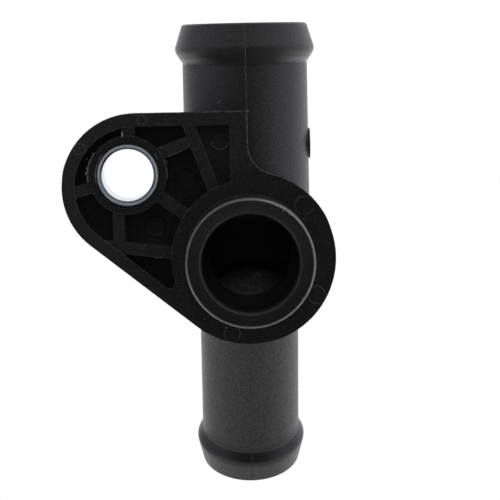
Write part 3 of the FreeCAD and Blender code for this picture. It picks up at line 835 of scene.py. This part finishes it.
def side_edge_line():
    """The rest of the lug's top edge, its right side and the hollow corner down to the ring."""
    corner_z = math.sqrt((RING_RADIUS + CORNER_RADIUS) ** 2 - CORNER_RADIUS ** 2)
    turn = math.degrees(math.atan2(corner_z, CORNER_RADIUS))
    path = []
    for step in range(20):
        path.append(edge_point((LUG_CENTRE[0] + FLASH_CHANGE) * (1 - step / 20), LUG_TOP, 0, 1))
    for step in range(11):
        path.append(edge_point(0, LUG_TOP + (corner_z - LUG_TOP) * step / 10, 1, 0))
    for x, z, angle in arc_points((CORNER_RADIUS, corner_z), CORNER_RADIUS, 180, 180 + turn, 14)[1:]:
        path.append(edge_point(x, z, -math.cos(angle), -math.sin(angle)))
    for x, z, angle in arc_points((0, 0), RING_RADIUS, turn, 20, 14)[1:]:
        path.append(edge_point(x, z, math.cos(angle), math.sin(angle)))
    return path


def pin_line(centre, diameter, depth, first, last):
    """A circle or an arc on a face that looks towards -Y, laid over the upper stub where it bulges."""
    steps = max(12, int(diameter * 14))
    path = []
    for x, z, angle in arc_points(centre, diameter / 2, first, last, steps):
        y = depth
        outward = Vector((0, -1, 0))
        if abs(x) < UPPER_STUB["radius"] and z > 0 and depth > 0:
            bulge = STUB_SETBACK - math.sqrt(UPPER_STUB["radius"] ** 2 - x ** 2)
            if bulge < y:
                y = bulge
                outward = Vector((x, bulge - STUB_SETBACK, 0)).normalized()
        across = Vector((math.cos(angle), 0, math.sin(angle)))
        path.append((Vector((x, y, z)), outward, across))
    if last - first == 360:
        path.pop()
    return path


def lip_line():
    """The lower part of the lip where the throat opens into the stubs."""
    path = []
    for x, z, angle in arc_points((0, 0), THROAT_RADIUS, -139, -58, 44):
        inward = Vector((-math.cos(angle), 0, -math.sin(angle)))
        path.append((Vector((x, THROAT_END, z)), inward, Vector((0, 1, 0))))
    return path


def straight_line(first, last, outward=(0, -1, 0)):
    """Points of a straight line on a face with the given normal."""
    first, last, outward = Vector(first), Vector(last), Vector(outward).normalized()
    steps = max(4, int((last - first).length / BURR_STEP))
    across = (last - first).cross(outward).normalized()
    return [(first.lerp(last, step / steps), outward, across) for step in range(steps + 1)]


def face_arc(centre, radius, first, last, depth):
    """An arc on a face that looks towards -Y."""
    path = []
    steps = max(6, int(math.radians(abs(last - first)) * radius / BURR_STEP))
    for x, z, angle in arc_points(centre, radius, first, last, steps):
        across = Vector((math.cos(angle), 0, math.sin(angle)))
        path.append((Vector((x, depth, z)), Vector((0, -1, 0)), across))
    return path


# The pieces.
class FLANGE_OT_dress_housing(bpy.types.Operator):
    """Give the housing its black plastic"""

    bl_idname = "flange.dress_housing"
    bl_label = "Dress housing"

    def execute(self, context):
        material = plastic_material("black_glass_nylon")
        for index in range(len(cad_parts["housing"].data.materials)):
            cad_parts["housing"].data.materials[index] = material
        return {"FINISHED"}


class FLANGE_OT_dress_sleeve(bpy.types.Operator):
    """Give the bolt sleeve its zinc-plated steel"""

    bl_idname = "flange.dress_sleeve"
    bl_label = "Dress bolt sleeve"

    def execute(self, context):
        material = steel_material()
        for index in range(len(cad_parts["bolt_sleeve"].data.materials)):
            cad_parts["bolt_sleeve"].data.materials[index] = material
        return {"FINISHED"}


class FLANGE_OT_add_flash(bpy.types.Operator):
    """Add the thin fins that the mould's halves leave along their parting lines"""

    bl_idname = "flange.add_flash"
    bl_label = "Add parting flash"

    def execute(self, context):
        mould = context.scene.flange_mould
        width, height = mould.flash_width / MM, mould.flash_height / MM
        pale = flash_material("pale_flash_plastic", 0.03)
        faint = plastic_material("stub_seam_plastic", 0.004)
        foot = face_arc((0, 0), RING_RADIUS - 0.05, -108, -72, 0.0)
        lines = (
            ("seam_lower_stub", stub_line(LOWER_STUB, 12.0), width, height * 0.3, 12, faint),
            ("flash_upper_stub", stub_line(UPPER_STUB, 23.9), width, height * 0.8, 11, pale),
            ("flash_lug_edge", lug_edge_line(), width, height, 13, pale),
            ("flash_side_edge", side_edge_line(), width * 1.6, height * 1.7, 14, pale),
            ("flash_throat_lip", lip_line(), width * 0.6, height * 0.5, 15, pale),
            ("flash_ring_foot", foot, width, height, 16, pale),
        )
        for name, path, line_width, line_height, seed, material in lines:
            keep_piece(name, ridge_mesh(name, path, line_width, line_height, seed), material)
        return {"FINISHED"}


class FLANGE_OT_add_pin_marks(bpy.types.Operator):
    """Add the round marks of the ejector pins"""

    bl_idname = "flange.add_pin_marks"
    bl_label = "Add ejector pin marks"

    def execute(self, context):
        height = context.scene.flange_mould.pin_mark_height / MM
        clear = plastic_material("pin_mark_plastic", 0.012)
        faint = plastic_material("faint_mark_plastic", 0.001)
        for name, centre, diameter, depth, first, last, share, is_clear in PIN_MARKS:
            path = pin_line(centre, diameter, depth, first, last)
            closed = last - first == 360
            mesh = ridge_mesh(
                name, path, PIN_MARK_WIDTH, height * share, PIN_MARK_SEED, closed, 0.2, CRATER
            )
            keep_piece(name, mesh, clear if is_clear else faint)
        # Painted highlight: the lips are pale.
        pale = plastic_material("pin_lip_painted_highlight", 0.1)
        for name, centre, diameter, depth, first, last in PIN_LIPS:
            path = face_arc(centre, diameter / 2, first, last, depth)
            mesh = ridge_mesh(name, path, PIN_LIP_WIDTH, height * 1.5, PIN_LIP_SEED, False, 0.5)
            keep_piece(name, mesh, pale)
        return {"FINISHED"}


class FLANGE_OT_add_burrs(bpy.types.Operator):
    """Add the small torn burrs and specks on ribs and faces"""

    bl_idname = "flange.add_burrs"
    bl_label = "Add burrs and specks"

    def execute(self, context):
        torn = flash_material("torn_plastic", 0.08)
        bruised = flash_material("bruised_plastic", 0.3)
        boss_left = face_arc(BOLT_CENTRE, BOSS_RADIUS + 0.1, 144, 190, 0.15)
        boss_right = face_arc(BOLT_CENTRE, BOSS_RADIUS, -8, 25, 0.1)
        sleeve_left = face_arc(BOLT_CENTRE, 5.2, 138, 196, 0.0)
        sleeve_right = face_arc(BOLT_CENTRE, 5.5, 25, 40, 0.0)
        top_rib = straight_line((-20.15, 0.2, 21.1), (-20.15, 0.2, 19.8))
        brace_low = straight_line((-12.91, 0.3, 16.63), (-10.39, 0.3, 17.61))
        middle_high = straight_line((-13.08, 0.3, 16.3), (-13.0, 0.3, 15.5))
        middle_low = straight_line((-13.12, 0.3, 13.5), (-13.2, 0.3, 12.9))
        foot = straight_line((-15.4, 0.3, 0.3), (-13.9, 0.3, 0.42))
        upper = straight_line((-4.86, 3.94, 25.03), (-4.04, 3.55, 25.46), (-0.4, -0.92, 0))
        lower = straight_line((0.37, 15.10, -20.05), (1.04, 15.12, -19.98), (0.0, -0.86, -0.5))
        low_end = straight_line((0.73, 17.88, -24.82), (1.07, 17.88, -24.74), (0.0, -0.86, -0.5))
        lower_bead = straight_line((0.0, 23.64, -35.12), (-0.02, 23.53, -35.88))
        lines = (
            ("burr_top_rib", top_rib, 0.3, 0.3, bruised),
            ("burr_boss_left", boss_left, 0.36, 0.24, torn),
            ("burr_boss_right", boss_right, 0.2, 0.12, torn),
            ("burr_sleeve_left", sleeve_left, 0.2, 0.09, torn),
            ("burr_sleeve_right", sleeve_right, 0.14, 0.06, torn),
            ("burr_brace_low", brace_low, 0.13, 0.07, torn),
            ("burr_middle_high", middle_high, 0.13, 0.1, torn),
            ("burr_middle_low", middle_low, 0.12, 0.1, torn),
            ("burr_foot", foot, 0.14, 0.08, torn),
            ("scratch_upper", upper, 0.12, 0.03, bruised),
            ("scratch_lower", lower, 0.13, 0.04, torn),
            ("scratch_low_end", low_end, 0.13, 0.04, torn),
            ("tick_lower_bead", lower_bead, 0.14, 0.08, torn),
        )
        for number, (name, path, width, height, material) in enumerate(lines):
            mesh = ridge_mesh(name, path, width, height, BURR_SEED + number, False, 0.9)
            keep_piece(name, mesh, material)
        lumps = [(torn, *chip) for chip in CHIPS] + [(bruised, *fleck) for fleck in FLECKS]
        for number, (material, name, place, size) in enumerate(lumps):
            keep_piece(name, chip_mesh(name, Vector(place), size, CHIP_SEED + number), material)
        return {"FINISHED"}


# The studio.
def aim(item, place, target):
    item.location = place
    item.rotation_euler = (Vector(target) - Vector(place)).to_track_quat("-Z", "Y").to_euler()


def add_lamp(name, place, target, width, height, power):
    lamp = bpy.data.lights.new(name, "AREA")
    lamp.shape = "RECTANGLE"
    lamp.size = width
    lamp.size_y = height
    lamp.energy = power
    item = bpy.data.objects.new(name, lamp)
    bpy.context.scene.collection.objects.link(item)
    aim(item, place, target)


def add_snoot(name, place, target, reach, power):
    """A lamp with a narrow tube in front of it, which lights a disc of the given radius."""
    lamp = bpy.data.lights.new(name, "SPOT")
    lamp.energy = power
    lamp.spot_size = 2.0 * math.atan(reach / (Vector(target) - Vector(place)).length)
    lamp.spot_blend = 0.25
    lamp.shadow_soft_size = 0.006
    item = bpy.data.objects.new(name, lamp)
    bpy.context.scene.collection.objects.link(item)
    aim(item, place, target)


def floor_material():
    """Pale floor that keeps the shadow near the object and turns plain white further out."""
    material, nodes = new_material("pale_floor")
    place = nodes.add("ShaderNodeTexCoord").outputs["Object"]
    distance = nodes.add("ShaderNodeVectorMath", {0: place}, operation="LENGTH").outputs["Value"]
    away = nodes.fade(distance, 0.17, 0.29)
    rays = nodes.add("ShaderNodeLightPath")
    seen = nodes.largest(
        rays.outputs["Is Camera Ray"], rays.outputs["Is Glossy Ray"], rays.outputs["Is Transmission Ray"]
    )
    paper = nodes.add("ShaderNodeBsdfDiffuse", {"Color": grey(0.85), "Roughness": 0.5})
    white = nodes.add("ShaderNodeEmission", {"Color": grey(1.0), "Strength": 1.0})
    plain = nodes.product(seen, away)
    both = nodes.add("ShaderNodeMixShader", {0: plain, 1: paper.outputs[0], 2: white.outputs[0]})
    finish_material(nodes, both)
    return material


def studio_world():
    """A light tent: bright at the sides and back, dim towards the camera, white where it is seen."""
    world = bpy.data.worlds.new("light_tent")
    world.use_nodes = True
    nodes = Nodes(world.node_tree)
    direction = nodes.add("ShaderNodeTexCoord").outputs["Generated"]
    x, y, z = nodes.add("ShaderNodeSeparateXYZ", {0: direction}).outputs
    dark_side = Vector((0.03, -1.0, -0.23)).normalized()
    front = nodes.fade(nodes.dot(direction, dark_side), 1.0, 0.4, 0.085, 1.0)
    rear_right = nodes.product(nodes.fade(x, 0.0, 0.5), nodes.fade(y, -0.1, 0.45, 0.0, 0.24))
    wall = nodes.total(nodes.fade(x, -0.6, 0.5, 0.56, 0.77), rear_right)
    around = nodes.mix_value(nodes.fade(z, -0.25, -0.5), wall, 1.0)
    rays = nodes.add("ShaderNodeLightPath")
    mirrored = nodes.product(rays.outputs["Is Glossy Ray"], nodes.fade(y, 0.6, 0.85))
    seen = nodes.largest(rays.outputs["Is Camera Ray"], rays.outputs["Is Transmission Ray"])
    level = nodes.largest(nodes.product(front, around), seen, mirrored)
    cool = nodes.product(
        nodes.fade(nodes.math("ABSOLUTE", x), 0.35, 0.75),
        nodes.fade(z, -0.45, -0.1),
        nodes.opposite(seen),
    )
    colour = nodes.mix_colour(cool, grey(1.0), (0.985, 0.985, 1.08, 1.0))
    background = nodes.add("ShaderNodeBackground", {"Color": colour, "Strength": level})
    nodes.add("ShaderNodeOutputWorld", {"Surface": background.outputs[0]})
    return world


class FLANGE_OT_set_stage(bpy.types.Operator):
    """Set up the floor, the lamps, the world and the camera"""

    bl_idname = "flange.set_stage"
    bl_label = "Set stage"

    def execute(self, context):
        studio = context.scene.flange_studio
        scene = context.scene
        mesh = bpy.data.meshes.new("floor")
        work = bmesh.new()
        bmesh.ops.create_circle(work, cap_ends=True, segments=64, radius=FLOOR_RADIUS)
        work.to_mesh(mesh)
        work.free()
        floor = bpy.data.objects.new("floor", mesh)
        floor.location = (0, FLOOR_CENTRE_Y, -studio.floor_drop)
        floor.data.materials.append(floor_material())
        scene.collection.objects.link(floor)

        scene.world = studio_world()
        level = studio.lamp_level
        mouth = (0, -SPIGOT_LENGTH * MM, 0)
        add_lamp("lamp_high", (0.05, -0.68, 0.32), (0, 0, 0), width=0.25, height=0.12, power=0.02 * level)
        add_snoot("lamp_bore", (-0.006, -0.64, 0.2036), mouth, reach=0.0074, power=5.0 * level)

        camera = bpy.data.cameras.new("camera")
        camera.lens = studio.lens
        camera.sensor_width = 36.0
        camera.clip_start = 0.01
        item = bpy.data.objects.new("camera", camera)
        item.location = CAMERA_PLACE
        item.rotation_euler = [math.radians(angle) for angle in CAMERA_TURN]
        scene.collection.objects.link(item)
        scene.camera = item
        scene.view_settings.view_transform = "Standard"
        return {"FINISHED"}


class FLANGE_PT_sidebar(bpy.types.Panel):
    """Lists the steps that dress the coolant flange"""

    bl_idname = "FLANGE_PT_sidebar"
    bl_label = "Coolant flange"
    bl_space_type = "VIEW_3D"
    bl_region_type = "UI"
    bl_category = "Coolant flange"

    def draw(self, context):
        layout = self.layout
        scene = context.scene
        for heading, settings in (
            ("Plastic", scene.flange_plastic),
            ("Steel", scene.flange_steel),
            ("Mould", scene.flange_mould),
            ("Studio", scene.flange_studio),
        ):
            box = layout.box()
            box.label(text=heading)
            for name in settings.__annotations__:
                box.prop(settings, name)
        for operator in STEPS:
            layout.operator(operator.bl_idname)


STEPS = (
    FLANGE_OT_dress_housing,
    FLANGE_OT_dress_sleeve,
    FLANGE_OT_add_flash,
    FLANGE_OT_add_pin_marks,
    FLANGE_OT_add_burrs,
    FLANGE_OT_set_stage,
)
SETTINGS = (
    ("flange_plastic", PlasticSettings),
    ("flange_steel", SteelSettings),
    ("flange_mould", MouldSettings),
    ("flange_studio", StudioSettings),
)


def register():
    for name, group in SETTINGS:
        bpy.utils.register_class(group)
        setattr(bpy.types.Scene, name, PointerProperty(type=group))
    for step in STEPS:
        bpy.utils.register_class(step)
    bpy.utils.register_class(FLANGE_PT_sidebar)


def unregister():
    bpy.utils.unregister_class(FLANGE_PT_sidebar)
    for step in reversed(STEPS):
        bpy.utils.unregister_class(step)
    for name, group in reversed(SETTINGS):
        delattr(bpy.types.Scene, name)
        bpy.utils.unregister_class(group)


def main():
    register()
    bpy.ops.flange.dress_housing()
    bpy.ops.flange.dress_sleeve()
    bpy.ops.flange.add_flash()
    bpy.ops.flange.add_pin_marks()
    bpy.ops.flange.add_burrs()
    bpy.ops.flange.set_stage()


if __name__ == "__main__":
    main()
